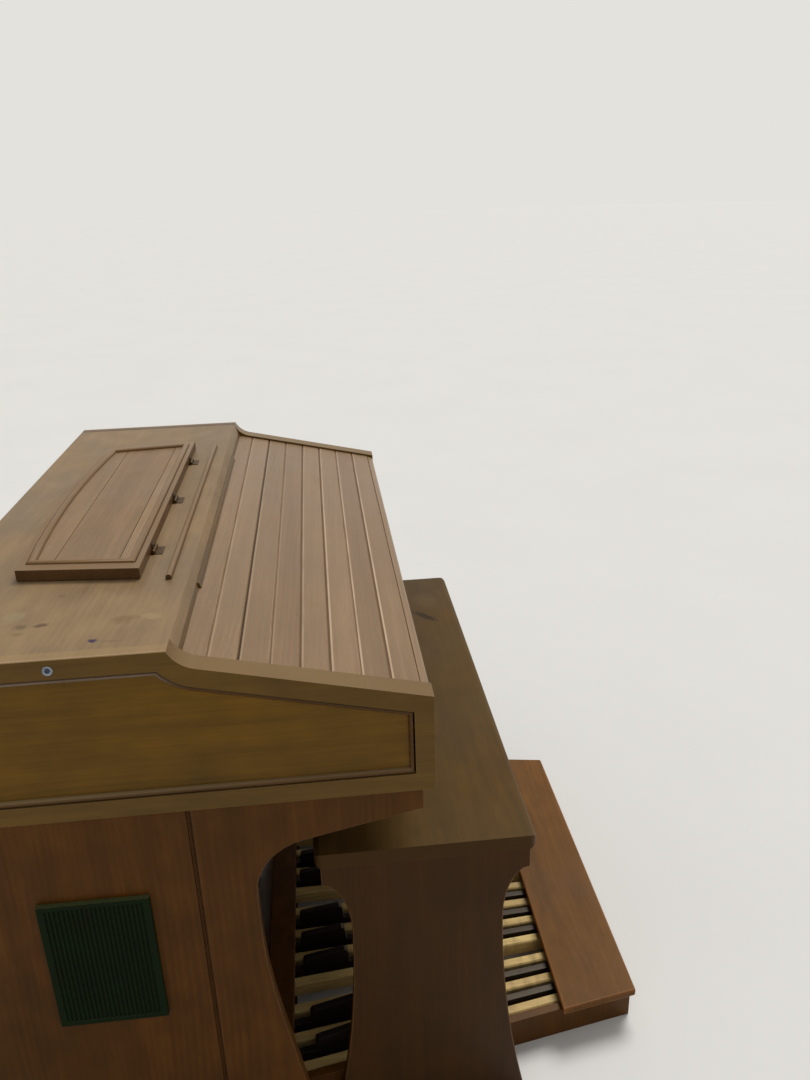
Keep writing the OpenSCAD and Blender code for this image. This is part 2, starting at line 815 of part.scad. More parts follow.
// Places what points along +Y from the centre of radiation
module radial(angle) {
    translate([pedal_x, pedal_cy, 0]) rotate([0, 0, -angle]) children();
}

// Half width of the fan of keys on the line y, counted w beyond the middle of the last key
function fan_x(y, w) = tan(fan_half) * (y - pedal_cy) + w / cos(fan_half);

// Radius at which a key of this angle crosses the line y
function radius_at(y, angle) = (y - pedal_cy) / cos(angle);

function is_sharp(i) = len(search((i - 1) % 12, NATURALS)) == 0;
function naturals_before(i) = len([for (k = [0:1:i - 2]) if (len(search(k % 12, NATURALS)) > 0) k]);
function key_angle(i) = pedal_step * (naturals_before(i) - (natural_count - 1) / 2 - (is_sharp(i) ? 0.5 : 0));
function key_w(i) = is_sharp(i) ? sharp_w : natural_w;

module pedal_heel_board() {
    outer = fan_x(-pedal_reach, fan_outer) + heel_over;
    inner = fan_x(heel_y, fan_outer) + heel_over;
    color("brown") at_front() translate([pedal_x, 0, heel_under]) linear_extrude(heel_board_t) polygon([
        [-outer, -pedal_reach], [outer, -pedal_reach], [inner, heel_y], [-inner, heel_y]
    ]);
}

// Rail with one round cradle for the tail of each key
module pedal_hinge_rail() {
    reach = fan_x(pivot_y - hinge_rail_d, fan_inner);
    color("sienna") at_front() difference() {
        translate([pedal_x - reach, pivot_y - hinge_rail_d, 0]) cube([2 * reach, hinge_rail_d, heel_under]);
        for (i = [1:key_count])
            radial(key_angle(i)) translate([0, radius_at(pivot_y, key_angle(i)), pivot_z])
                rotate([0, 90, 0]) cylinder(h = key_w(i) + 2 * key_side_gap,
                    r = tail_r + cradle_gap, center = true, $fn = 48);
    }
}

module pedal_cheeks() {
    y0 = -pedal_reach + pedal_front_set;
    y1 = knee_y + knee_set - pedal_back_gap;
    color("sienna") at_front() for (s = [-1, 1]) intersection() {
        radial(s * fan_half) translate([s > 0 ? fan_inner : -fan_outer, 0, 0])
            cube([pedal_cheek_t, 2 * radiation_r, heel_under]);
        translate([-case_w, y0, 0]) cube([2 * case_w, y1 - y0, heel_under]);
    }
}

module pedal_toe_rail() {
    reach = fan_x(toe_y - toe_cover, fan_inner);
    stop_h = natural_h - key_d - key_dip - key_gap;
    color("sienna") at_front() along_x(pedal_x - reach, 2 * reach) polygon([
        [toe_y - toe_cover, 0], [toe_y + toe_gap + panel_t, 0],
        [toe_y + toe_gap + panel_t, heel_under + toe_cap_t], [toe_y - toe_cover, heel_under + toe_cap_t],
        [toe_y - toe_cover, heel_under], [toe_y + toe_gap, heel_under],
        [toe_y + toe_gap, stop_h], [toe_y - toe_cover, stop_h]
    ]);
}

// Round tail on which a key turns in its cradle
module key_tail(r0, width) {
    translate([0, r0, pivot_z]) rotate([0, 90, 0])
        cylinder(h = width, r = tail_r, center = true, $fn = 48);
}

module natural_key(i) {
    r0 = radius_at(pivot_y, key_angle(i));
    r1 = radius_at(toe_y, key_angle(i));
    w = natural_w / 2;
    color("wheat") at_front() radial(key_angle(i)) {
        key_tail(r0, natural_w);
        translate([0, r1, natural_h - key_d]) rotate([90, 0, 0]) linear_extrude(r1 - r0 - tail_neck) polygon([
            [-w, 0], [w, 0], [w, key_d - key_edge], [w - key_edge, key_d],
            [-w + key_edge, key_d], [-w, key_d - key_edge]
        ]);
    }
}

module sharp_key(i) {
    r0 = radius_at(pivot_y, key_angle(i));
    r1 = radius_at(toe_y, key_angle(i));
    color("dimgray") at_front() radial(key_angle(i)) {
        key_tail(r0, sharp_w);
        translate([-sharp_w / 2, r0 + tail_neck, natural_h - key_d])
            cube([sharp_w, r1 - r0 - tail_neck, key_d]);
        along_x(-sharp_w / 2, sharp_w) polygon(sharp_cap());
    }
}

// Side view of the raised cap of a sharp, round at its front and falling to the back
function sharp_cap() =
    let (
        top = natural_h + sharp_h,
        back = radiation_r + sharp_cap_len
    )
    concat(
        [[back, natural_h - key_edge], [radiation_r, natural_h - key_edge], [radiation_r, natural_h]],
        [for (a = [180:-22.5:90]) [radiation_r + cap_lean + cap_r, top - cap_r] + cap_r * [cos(a), sin(a)]],
        [for (a = [60:-30:0]) [back - cap_r, top - cap_fall - cap_r] + cap_r * [cos(a), sin(a)]]
    );

module pedal_key(i) {
    if (is_sharp(i)) sharp_key(i);
    else natural_key(i);
}

top_board();
cheek_left();
cheek_right();
cheek_panels();
cheek_beads();
fascia();
tambour_slats();
tambour_canvas();
tambour_rail();
key_slip();
key_bed();
back_panel();
side_panel_left();
side_panel_right();
side_grilles();
bracket_left();
bracket_right();
knee_panel();
swell_shoes();
plinth();
desk_ledge();
desk_hinges();
music_desk();
music_desk_panel();
music_desk_bead();
desk_knuckles();
bench_top();
bench_end_left();
bench_end_right();
bench_rails();
pedal_heel_board();
pedal_hinge_rail();
pedal_cheeks();
pedal_toe_rail();
pedal_key(1);  // pedal_01
pedal_key(2);  // pedal_02
pedal_key(3);  // pedal_03
pedal_key(4);  // pedal_04
pedal_key(5);  // pedal_05
pedal_key(6);  // pedal_06
pedal_key(7);  // pedal_07
pedal_key(8);  // pedal_08
pedal_key(9);  // pedal_09
pedal_key(10);  // pedal_10
pedal_key(11);  // pedal_11
pedal_key(12);  // pedal_12
pedal_key(13);  // pedal_13
pedal_key(14);  // pedal_14
pedal_key(15);  // pedal_15
pedal_key(16);  // pedal_16
pedal_key(17);  // pedal_17
pedal_key(18);  // pedal_18
pedal_key(19);  // pedal_19
pedal_key(20);  // pedal_20
pedal_key(21);  // pedal_21
pedal_key(22);  // pedal_22
pedal_key(23);  // pedal_23
pedal_key(24);  // pedal_24
pedal_key(25);  // pedal_25
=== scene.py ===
import json
from math import cos, pi, radians, sin

import bmesh
import bpy
from mathutils import Matrix, Vector


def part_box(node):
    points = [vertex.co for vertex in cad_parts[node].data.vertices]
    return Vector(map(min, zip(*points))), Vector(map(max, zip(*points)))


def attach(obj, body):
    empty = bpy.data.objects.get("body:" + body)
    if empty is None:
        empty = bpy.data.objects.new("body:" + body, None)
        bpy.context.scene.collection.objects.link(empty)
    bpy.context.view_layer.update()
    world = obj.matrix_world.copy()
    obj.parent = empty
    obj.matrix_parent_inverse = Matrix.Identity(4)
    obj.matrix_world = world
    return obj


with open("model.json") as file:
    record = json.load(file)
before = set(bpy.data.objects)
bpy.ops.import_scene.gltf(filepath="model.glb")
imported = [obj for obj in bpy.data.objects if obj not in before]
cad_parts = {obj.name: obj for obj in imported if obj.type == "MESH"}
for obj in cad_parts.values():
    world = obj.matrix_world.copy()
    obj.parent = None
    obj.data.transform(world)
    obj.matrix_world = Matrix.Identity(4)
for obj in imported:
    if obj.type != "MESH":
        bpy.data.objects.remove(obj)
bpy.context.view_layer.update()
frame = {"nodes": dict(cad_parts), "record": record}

record = frame["record"]

# Places that the finishes and the hardware use, in metres
top_low, top_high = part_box("top_board")
slats_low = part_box("tambour_slats")[0]
desk_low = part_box("music_desk")[0]
bench_low, bench_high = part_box("bench_top")
shoes_low, shoes_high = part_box("swell_shoes")
back_low, back_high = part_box("back_panel")
hinges_low, hinges_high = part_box("desk_hinges")

# Slope of the roll top, and the distance from slat to slat
SLOPE = radians(12.7)
SLAT_PITCH = 0.046
# Joints between the boards of the music desk, from its front edge
DESK_JOINTS = (0.042, 0.153)
# Where the edging bands of the top begin, from the middle of the console. The bands are painted darker as
# shade at the far end and paler as a highlight at the near end.
TOP_EDGING = 0.645


# Shader helpers

def srgb(colour):
    """Linear colour of an sRGB colour given as three numbers up to 255."""
    def linear(value):
        value /= 255
        return value / 12.92 if value <= 0.04045 else ((value + 0.055) / 1.055) ** 2.4
    return (*(linear(value) for value in colour), 1)


def shade(colour, red, green=None, blue=None):
    """An sRGB colour with its parts multiplied, all by the first factor if it is the only one."""
    factors = (red, red if green is None else green, red if blue is None else blue)
    return tuple(min(255, value * factor) for value, factor in zip(colour, factors))


class Shader:
    """A material with short calls for its nodes."""

    def __init__(self, name, rough=0.5, **sockets):
        self.material = bpy.data.materials.new(name)
        self.material.use_nodes = True
        self.tree = self.material.node_tree
        self.surface = self.tree.nodes["Principled BSDF"]
        self.surface.inputs["Roughness"].default_value = rough
        for socket, value in sockets.items():
            self.surface.inputs[socket.replace("_", " ")].default_value = value

    def add(self, kind, inputs=None, **settings):
        node = self.tree.nodes.new(kind)
        for key, value in settings.items():
            setattr(node, key, value)
        for socket, value in (inputs or {}).items():
            self.put(node.inputs[socket], value)
        return node

    def put(self, socket, value):
        if isinstance(value, bpy.types.NodeSocket):
            self.tree.links.new(value, socket)
        else:
            socket.default_value = value

    def math(self, operation, a, b=0.0):
        return self.add("ShaderNodeMath", {0: a, 1: b}, operation=operation).outputs[0]

    def times(self, a, b):
        return self.math("MULTIPLY", a, b)

    def minus(self, a, b):
        return self.math("SUBTRACT", a, b)

    def total(self, *terms):
        value = terms[0]
        for term in terms[1:]:
            value = self.math("ADD", value, term)
        return value

    def swing(self, noise, amount):
        """A noise turned into a value that swings round zero."""
        return self.times(self.minus(noise, 0.5), amount)

    def scaled(self, value, low, high, to_low=0.0, to_high=1.0):
        return self.add("ShaderNodeMapRange", {0: value, 1: low, 2: high, 3: to_low, 4: to_high}).outputs[0]

    def place(self):
        """Coordinates of the surface point in the frame, in metres, as x, y and z."""
        coordinates = self.add("ShaderNodeTexCoord").outputs["Object"]
        return list(self.add("ShaderNodeSeparateXYZ", {0: coordinates}).outputs)

    def noise(self, axes, factors, detail=3.0, roughness=0.5):
        """Noise over three axes, each with its own number of waves to the metre."""
        vector = self.add("ShaderNodeCombineXYZ", {i: self.times(axes[i], factors[i]) for i in range(3)})
        inputs = {"Vector": vector.outputs[0], "Scale": 1.0, "Detail": detail, "Roughness": roughness}
        return self.add("ShaderNodeTexNoise", inputs).outputs["Fac"]

    def even_noise(self, axes, factor, detail=3.0):
        return self.noise(axes, (factor, factor, factor), detail)

    def white(self, value):
        return self.add("ShaderNodeTexWhiteNoise", {"W": value}, noise_dimensions="1D").outputs["Value"]

    def ramp(self, value, *stops):
        node = self.add("ShaderNodeValToRGB", {0: value})
        elements = node.color_ramp.elements
        while len(elements) < len(stops):
            elements.new(1.0)
        for element, (position, colour) in zip(elements, stops):
            element.position = position
            element.color = srgb(colour)
        return node.outputs[0]

    def table(self, index, rows):
        """The three numbers in the row that a whole number picks."""
        node = self.add("ShaderNodeValToRGB", {0: self.times(self.total(index, 0.5), 1 / len(rows))})
        node.color_ramp.interpolation = "CONSTANT"
        elements = node.color_ramp.elements
        while len(elements) < len(rows):
            elements.new(1.0)
        for number, row in enumerate(rows):
            elements[number].position = number / len(rows)
            elements[number].color = (*row, 1)
        return list(self.add("ShaderNodeSeparateColor", {0: node.outputs[0]}).outputs)

    def mix(self, factor, a, b, blend="MIX"):
        node = self.add("ShaderNodeMix", {0: factor, 6: a, 7: b}, data_type="RGBA", blend_type=blend)
        return node.outputs[2]

    def bump(self, height, distance, strength=1.0):
        node = self.add("ShaderNodeBump", {"Height": height, "Distance": distance, "Strength": strength})
        self.put(self.surface.inputs["Normal"], node.outputs[0])

    def colour(self, value):
        self.put(self.surface.inputs["Base Color"], value)

    def roughness(self, value):
        self.put(self.surface.inputs["Roughness"], value)


def wood(name, tone, grain, heart=(0.2, 0.7), pitch=0.008, figure=0.1, streak=0.3, mottle=0.35, pore=0.2,
         rough=0.4, specular=0.2, coat=0.04, boards=None, marks=None):
    """Lacquered wood whose grain runs along one axis of the frame.

    heart is where the rings of the log are centred, across the grain, and pitch is the distance from ring
    to ring. boards gives each board its own tone, and marks adds wear, stains and painted light and shade.
    """
    shader = Shader(name, Coat_Weight=coat, Coat_Roughness=0.28, Specular_IOR_Level=specular,
                    Specular_Tint=(1.0, 0.80, 0.55, 1.0))
    place = shader.place()
    start = "XYZ".index(grain)
    axes = [place[(start + step) % 3] for step in range(3)]
    board = boards(shader, place) if boards else None
    if board is not None:
        axes[0] = shader.total(axes[0], shader.times(board, 7.0))
        axes[1] = shader.total(axes[1], shader.times(board, 0.31))
    along, side, deep = axes

    # Each noise has its waves to the metre along the grain first, and then the two across it
    wander = shader.noise(axes, (1.3, 4.0, 4.0), detail=2.0)
    off_side = shader.minus(shader.total(side, shader.times(along, 0.04)), heart[0])
    off_deep = shader.minus(shader.total(deep, shader.times(along, 0.03)), heart[1])
    square = shader.total(shader.times(off_side, off_side), shader.times(off_deep, off_deep))
    radius = shader.total(shader.math("SQRT", square), shader.times(wander, 0.06))
    rings = shader.scaled(shader.math("SINE", shader.times(radius, 2 * pi / pitch)), -1.0, 1.0)
    shown = shader.scaled(shader.noise(axes, (0.9, 7.0, 7.0), detail=1.0), 0.36, 0.62)

    broad = shader.noise(axes, (0.8, 11.0, 11.0), detail=2.0)
    streaks = shader.noise(axes, (1.8, 52.0, 52.0), detail=3.0)
    fibre = shader.noise(axes, (6.0, 240.0, 240.0), detail=3.0, roughness=0.6)
    pores = shader.noise(axes, (40.0, 1100.0, 1100.0), detail=1.0)
    cloud = shader.even_noise(place, 4.0, detail=4.0)
    patches = shader.noise(axes, (14.0, 24.0, 24.0), detail=4.0)

    body = shader.total(shader.times(shader.swing(rings, figure), shown), shader.swing(broad, streak),
                        shader.swing(streaks, streak), shader.swing(fibre, streak),
                        shader.swing(cloud, mottle), shader.swing(patches, mottle), 0.5)
    colour = shader.ramp(body, (0.0, shade(tone, 0.62, 0.60, 0.56)), (0.5, tone), (1.0, shade(tone, 1.34)))
    open_pores = shader.scaled(pores, 0.60, 0.74)
    colour = shader.mix(shader.times(open_pores, pore), colour, srgb(shade(tone, 0.5, 0.45, 0.42)))
    if board is not None:
        tint = shader.ramp(board, (0.0, (236, 232, 228)), (1.0, (255, 255, 255)))
        colour = shader.mix(1.0, colour, tint, "MULTIPLY")
    shine = shader.total(shader.scaled(cloud, 0.3, 0.7, rough - 0.07, rough + 0.11),
                         shader.swing(fibre, 0.08))
    if marks:
        colour, shine = marks(shader, place, colour, shine)
    shader.colour(colour)
    shader.roughness(shine)
    shader.bump(shader.minus(fibre, shader.times(open_pores, 0.8)), 0.0002, 0.5)
    return shader.material


# Wood finishes

def slat_steps(shader, place):
    """Distance down the slope, counted in slats."""
    down = shader.total(shader.times(place[1], cos(SLOPE)), shader.times(place[2], sin(SLOPE)))
    first = slats_low.y * cos(SLOPE) + slats_low.z * sin(SLOPE)
    return shader.times(shader.minus(down, first), 1 / SLAT_PITCH)


def slat_numbers(shader, place):
    """A random number for each slat of the roll top."""
    return shader.white(shader.math("FLOOR", slat_steps(shader, place)))


# How strong the painted highlight beside each joint of the roll top is on its front side and on its back
# side, and how dark the painted shade is between them. The first joint is the one at the front.
SLAT_JOINTS = (
    (0.30, 0.95, 0.30), (1.00, 0.30, 0.40), (0.90, 0.85, 0.35), (0.85, 0.20, 0.45), (0.45, 0.35, 0.45),
    (0.25, 0.80, 0.35), (0.35, 0.00, 0.95), (0.35, 0.60, 0.15), (0.00, 0.00, 0.60),
)


def slat_highlights_and_shade(shader, place, colour, shine):
    """The long edges of the slats get a painted highlight beside each joint, weaker towards the far end, and
    painted shade darkens the middle of each joint.
    """
    steps = slat_steps(shader, place)
    joint = shader.math("ROUND", steps)
    ahead = shader.times(shader.minus(joint, steps), SLAT_PITCH)
    apart = shader.math("ABSOLUTE", ahead)
    front, back, dark = shader.table(joint, SLAT_JOINTS)
    in_front = shader.math("GREATER_THAN", ahead, 0.0)
    highlight_strength = shader.total(back, shader.times(in_front, shader.minus(front, back)))
    edge = shader.times(shader.scaled(apart, 0.0006, 0.0011), shader.scaled(apart, 0.0044, 0.0032))
    patchy = shader.scaled(shader.noise(place, (9.0, 60.0, 60.0), detail=2.0), 0.3, 0.55, 0.55, 1.0)
    near = shader.scaled(place[0], -0.2, 0.6, 1.0, 0.6)
    # Painted highlight: a pale line beside each joint, weaker towards the far end
    wear_and_highlight = shader.times(shader.times(edge, highlight_strength), shader.times(patchy, near))
    # Painted shade: the middle of each joint is darkened
    groove_shade = shader.times(shader.scaled(apart, 0.0022, 0.0010), dark)
    colour = shader.mix(groove_shade, colour, srgb((62, 44, 32)))
    return shader.mix(wear_and_highlight, colour, srgb((192, 165, 136))), shine


def upward(shader):
    """How far a face looks up when the part is at rest: 0 for an upright face and 1 for a level one."""
    normal = shader.add("ShaderNodeTexCoord").outputs["Normal"]
    return shader.scaled(shader.add("ShaderNodeSeparateXYZ", {0: normal}).outputs[2], 0.3, 0.8)


def lit_from_above(tone, strength):
    """Painted light from above: the faces that look up are lightened towards a tone."""
    def wear_and_top_light(shader, place, colour, shine):
        patchy = shader.scaled(shader.noise(place, (6.0, 6.0, 6.0), detail=4.0), 0.3, 0.7, 0.7, 1.0)
        # Painted light: faces that look up are lightened, as if lit from above
        amount = shader.times(upward(shader), patchy)
        return shader.mix(shader.times(amount, strength), colour, srgb(tone)), shine
    return wear_and_top_light


def spot(shader, place, centre, size, turn=0.0, ragged=0.6):
    """A mark on a level surface: 1 in its middle and 0 outside, with a ragged edge.

    size is its half length and half width, and turn is the angle of its length from X.
    """
    dx = shader.minus(place[0], centre[0])
    dy = shader.minus(place[1], centre[1])
    long = shader.times(shader.total(shader.times(dx, cos(turn)), shader.times(dy, sin(turn))), 1 / size[0])
    wide = shader.times(shader.minus(shader.times(dy, cos(turn)), shader.times(dx, sin(turn))), 1 / size[1])
    apart = shader.math("SQRT", shader.total(shader.times(long, long), shader.times(wide, wide)))
    edge = shader.even_noise(place, 1.6 / size[1], detail=5.0)
    return shader.scaled(shader.total(apart, shader.swing(edge, 2 * ragged)), 1.1, 0.5)


# Each mark: place of its middle, half length and half width, turn, colour and strength
TOP_MARKS = (
    ((-0.556, 0.394), (0.013, 0.007), 1.75, (74, 54, 38), 0.75),
    ((-0.557, 0.424), (0.012, 0.009), 1.4, (92, 72, 54), 0.6),
    ((-0.582, 0.421), (0.010, 0.006), 1.6, (100, 80, 56), 0.4),
    ((-0.619, 0.306), (0.008, 0.006), 1.2, (30, 24, 72), 0.95),
    ((-0.624, 0.278), (0.020, 0.003), 1.5, (92, 76, 60), 0.35),
    ((-0.452, 0.389), (0.008, 0.006), 0.4, (92, 74, 56), 0.45),
    ((-0.554, 0.272), (0.016, 0.022), 0.3, (104, 84, 48), 0.45),
    ((-0.550, 0.233), (0.020, 0.012), 1.2, (158, 138, 100), 0.5),
    ((-0.522, 0.444), (0.020, 0.024), 1.0, (150, 138, 104), 0.4),
)
BENCH_MARKS = (
    ((0.250, -0.273), (0.046, 0.012), 0.71, (40, 26, 10), 0.9),
    ((0.345, -0.286), (0.050, 0.030), 0.2, (110, 88, 52), 0.25),
)


def top_wear_and_light(shader, place, colour, shine):
    """Dust, rubbed patches and a few stains on the flat top, with painted shade at its far end and painted
    highlights at its near end and along the rims of both ends.
    """
    flat = shader.scaled(place[2], top_high.z - 0.004, top_high.z - 0.001)
    film = shader.times(shader.scaled(shader.even_noise(place, 8.0, detail=5.0), 0.42, 0.7), flat)
    colour = shader.mix(shader.times(film, 0.3), colour, srgb((150, 130, 100)))
    side = shader.math("ABSOLUTE", place[0])
    edging = shader.times(shader.scaled(side, TOP_EDGING, TOP_EDGING + 0.001), flat)
    # Painted shade: the edging band is darkened towards the far end
    shadow = shader.scaled(place[0], -TOP_EDGING, TOP_EDGING, 0.0, 0.55)
    colour = shader.mix(shader.times(edging, shadow), colour, srgb((84, 62, 44)))
    # Painted highlight: the edging band is lightened towards the near end
    near_end_highlight = shader.scaled(place[0], -TOP_EDGING, TOP_EDGING, 0.3, 0.0)
    colour = shader.mix(shader.times(edging, near_end_highlight), colour, srgb((166, 136, 88)))
    # A dark line where the edging begins, drawn only towards the far end as a painted shadow line
    apart = shader.math("ABSOLUTE", shader.minus(side, TOP_EDGING))
    joint = shader.times(shader.scaled(apart, 0.0040, 0.0025), flat)
    seen = shader.scaled(place[0], 0.0, TOP_EDGING, 0.0, 0.9)
    colour = shader.mix(shader.times(joint, seen), colour, srgb((48, 33, 24)))
    for centre, size, turn, tone, strength in TOP_MARKS:
        mark = shader.times(spot(shader, place, centre, size, turn), flat)
        colour = shader.mix(shader.times(mark, strength), colour, srgb(tone))
    # Painted highlight: a pale, patchy line along the rims of both ends
    rim_highlight = shader.times(shader.scaled(side, top_high.x - 0.007, top_high.x - 0.003), flat)
    patchy = shader.scaled(shader.noise(place, (30.0, 7.0, 30.0)), 0.3, 0.6, 0.2, 0.75)
    colour = shader.mix(shader.times(rim_highlight, patchy), colour, srgb((178, 152, 122)))
    return colour, shader.total(shine, shader.times(film, 0.14))


def bench_wear_and_shade(shader, place, colour, shine):
    """The varnish of the bench is worn dull where people sit, with a few smudges, and its upright faces carry
    painted shade.
    """
    middle = (bench_low + bench_high) / 2
    reach = shader.times(shader.minus(place[0], middle.x), 1 / 0.4)
    wear_and_highlight = shader.scaled(shader.times(reach, reach), 1.0, 0.0)
    film = shader.scaled(shader.even_noise(place, 7.0, detail=5.0), 0.35, 0.65)
    wear_and_top_light = shader.times(wear_and_highlight, film)
    colour = shader.mix(shader.times(wear_and_top_light, 0.35), colour, srgb((100, 78, 42)))
    for centre, size, turn, tone, strength in BENCH_MARKS:
        mark = spot(shader, place, centre, size, turn)
        colour = shader.mix(shader.times(mark, strength), colour, srgb(tone))
    # Painted shade: the upright faces are darkened towards a dark brown
    side = shader.minus(1.0, upward(shader))
    colour = shader.mix(shader.times(side, 0.7), colour, srgb((58, 37, 17)))
    return colour, shader.total(shine, shader.times(wear_and_top_light, 0.12))


def bead_highlights(shader, place, colour, shine):
    """Painted highlights on the bead: paler where it looks up, more so towards the rear, and along its high
    rear part.
    """
    rear = shader.scaled(place[1], 0.0, 0.45)
    high = shader.times(shader.scaled(place[1], 0.17, 0.24), shader.scaled(place[2], 0.9, 0.93))
    # Painted highlight: faces that look up are lightened, more towards the rear
    amount = shader.times(upward(shader), shader.total(shader.times(rear, 0.4), 0.5))
    colour = shader.mix(amount, colour, srgb((140, 118, 84)))
    # Painted highlight: a pale, patchy line along the high rear part
    patchy = shader.scaled(shader.noise(place, (40.0, 9.0, 40.0)), 0.3, 0.6, 0.5, 0.85)
    return shader.mix(shader.times(high, patchy), colour, srgb((128, 112, 96))), shine


def key_wear(shader, place, colour, shine):
    """Shoes have darkened the pedal keys towards their heels."""
    front = shader.scaled(place[1], -0.40, -0.05)
    scuffs = shader.scaled(shader.noise(place, (22.0, 60.0, 22.0), detail=4.0), 0.46, 0.66)
    grime = shader.times(shader.minus(1.0, front), scuffs)
    return shader.mix(shader.times(grime, 0.45), colour, srgb((108, 84, 52))), shine


def desk_boards(shader, place):
    """A random number for each board of the music desk panel."""
    joints = [shader.math("GREATER_THAN", place[1], desk_low.y + joint) for joint in DESK_JOINTS]
    return shader.white(shader.total(*joints, 3.0))


def key_numbers(shader, place):
    """A random number for each pedal key."""
    return shader.add("ShaderNodeObjectInfo").outputs["Random"]


FINISHES = {
    "top": wood("top_wood", (130, 107, 78), "X", heart=(-0.05, 0.62), figure=0.05, streak=0.22, mottle=0.4,
                rough=0.44, marks=top_wear_and_light),
    "slat": wood("slat_wood", (136, 110, 82), "X", heart=(0.3, 0.86), figure=0.06, streak=0.2, mottle=0.12,
                 rough=0.34, coat=0.06, boards=slat_numbers, marks=slat_highlights_and_shade),
    "rail": wood("rail_wood", (136, 110, 82), "X", heart=(0.3, 0.86), figure=0.06, streak=0.2, mottle=0.12,
                 rough=0.34, coat=0.06),
    # The desk frame is darker, with painted light on the faces that look up
    "desk": wood("desk_frame_wood", (90, 64, 38), "X", heart=(0.2, 0.8), rough=0.36,
                 marks=lit_from_above((128, 100, 66), 0.95)),
    "desk_panel": wood("desk_panel_wood", (138, 111, 80), "X", heart=(0.25, 0.9), figure=0.1, streak=0.3,
                       mottle=0.2, rough=0.38, boards=desk_boards),
    # The cheeks are darker, with painted light on the faces that look up
    "cheek": wood("cheek_wood", (94, 69, 28), "Y", heart=(0.86, -0.9), figure=0.06, rough=0.36,
                  marks=lit_from_above((120, 94, 56), 0.9)),
    "panel": wood("panel_wood", (98, 69, 14), "Y", heart=(0.88, -0.60), figure=0.08, streak=0.36, mottle=0.45,
                  rough=0.4, pitch=0.012),
    "bead": wood("bead_wood", (76, 48, 18), "Y", rough=0.26, coat=0.08, marks=bead_highlights),
    "fascia": wood("fascia_wood", (86, 64, 30), "X", heart=(0.1, 0.8), rough=0.34),
    "lower": wood("lower_wood", (82, 50, 16), "Z", heart=(-0.6, 0.1), figure=0.1, streak=0.32, mottle=0.5,
                  rough=0.42, specular=0.12, pitch=0.011),
    "inner": wood("inner_wood", (100, 73, 42), "X", heart=(0.2, 0.5), figure=0.16, streak=0.4, rough=0.6,
                  coat=0.0),
    "back": wood("back_wood", (106, 80, 50), "Z", heart=(0.1, 0.2), figure=0.24, streak=0.4, rough=0.6,
                 coat=0.0, pitch=0.014),
    "bench": wood("bench_wood", (79, 57, 22), "X", heart=(-0.25, 0.42), figure=0.06, streak=0.26, mottle=0.45,
                  rough=0.46, specular=0.1, coat=0.02, marks=bench_wear_and_shade),
    "bench_end": wood("bench_end_wood", (62, 38, 14), "Z", heart=(-0.5, -0.3), figure=0.1, streak=0.36,
                      rough=0.42, specular=0.12, pitch=0.010),
    "heel": wood("heel_wood", (102, 67, 30), "X", heart=(-0.5, 0.0), figure=0.06, streak=0.34, mottle=0.4,
                 rough=0.46, specular=0.1, coat=0.02),
    # Paler finishes that the bevels give to rounded edges: painted edge highlights
    "heel_edge_highlight": wood("heel_edge_highlight_wood", (118, 74, 36), "X", heart=(-0.5, 0.0), streak=0.6, rough=0.4),
    "edge_highlight": wood("edge_highlight_wood", (142, 114, 76), "Y", streak=0.5, rough=0.36),
    "lower_edge_highlight": wood("lower_edge_highlight_wood", (94, 60, 28), "Z", streak=0.5, rough=0.38),
    "natural": wood("natural_wood", (200, 172, 112), "Y", heart=(0.1, -0.3), figure=0.15, streak=0.4,
                    rough=0.42, boards=key_numbers, marks=key_wear),
    "sharp": wood("sharp_wood", (34, 28, 26), "Y", heart=(0.1, -0.3), streak=0.5, rough=0.34),
}


# Other finishes

def fine_finish(name, waves, dark, light, rough, bump, **sockets):
    """A finish of two tones that vary finely, and more slowly in their roughness."""
    shader = Shader(name, **sockets)
    place = shader.place()
    fine = shader.even_noise(place, waves, detail=4.0)
    cloud = shader.even_noise(place, 12.0)
    tone = shader.total(shader.times(fine, 0.65), shader.times(cloud, 0.35))
    shader.colour(shader.ramp(shader.scaled(tone, 0.32, 0.68), (0.0, dark), (1.0, light)))
    shader.roughness(shader.scaled(cloud, 0.3, 0.7, *rough))
    shader.bump(fine, bump)
    return shader.material


def grille_finish():
    """Dark cloth and frame, with painted light making the faces that look up paler."""
    shader = Shader("grille_finish", Specular_IOR_Level=0.1, Specular_Tint=(1.0, 0.85, 0.6, 1.0))
    place = shader.place()
    fine = shader.even_noise(place, 700.0, detail=4.0)
    cloud = shader.even_noise(place, 12.0)
    tone = shader.total(shader.times(fine, 0.5), shader.times(cloud, 0.5))
    colour = shader.ramp(shader.scaled(tone, 0.32, 0.68), (0.0, (9, 20, 9)), (1.0, (20, 36, 18)))
    # Painted light: faces that look up are a paler green, as if lit from above
    painted_top_light = shader.times(upward(shader), shader.scaled(fine, 0.3, 0.6, 0.4, 0.8))
    shader.colour(shader.mix(painted_top_light, colour, srgb((92, 98, 62))))
    shader.roughness(shader.scaled(cloud, 0.3, 0.7, 0.62, 0.82))
    shader.bump(fine, 0.0003)
    return shader.material


def canvas_finish():
    """Plain canvas with a visible weave."""
    shader = Shader("canvas_finish")
    place = shader.place()
    thread = 2 * pi / 0.0016
    across = shader.math("SINE", shader.times(place[0], thread))
    down = shader.math("SINE", shader.times(place[1], thread))
    weave = shader.scaled(shader.times(across, down), -1.0, 1.0)
    cloud = shader.even_noise(place, 20.0)
    tone = shader.total(shader.times(weave, 0.5), shader.times(cloud, 0.5))
    shader.colour(shader.ramp(tone, (0.2, (120, 112, 90)), (0.8, (170, 160, 134))))
    shader.roughness(shader.scaled(cloud, 0.3, 0.7, 0.8, 0.95))
    shader.bump(weave, 0.0003)
    return shader.material


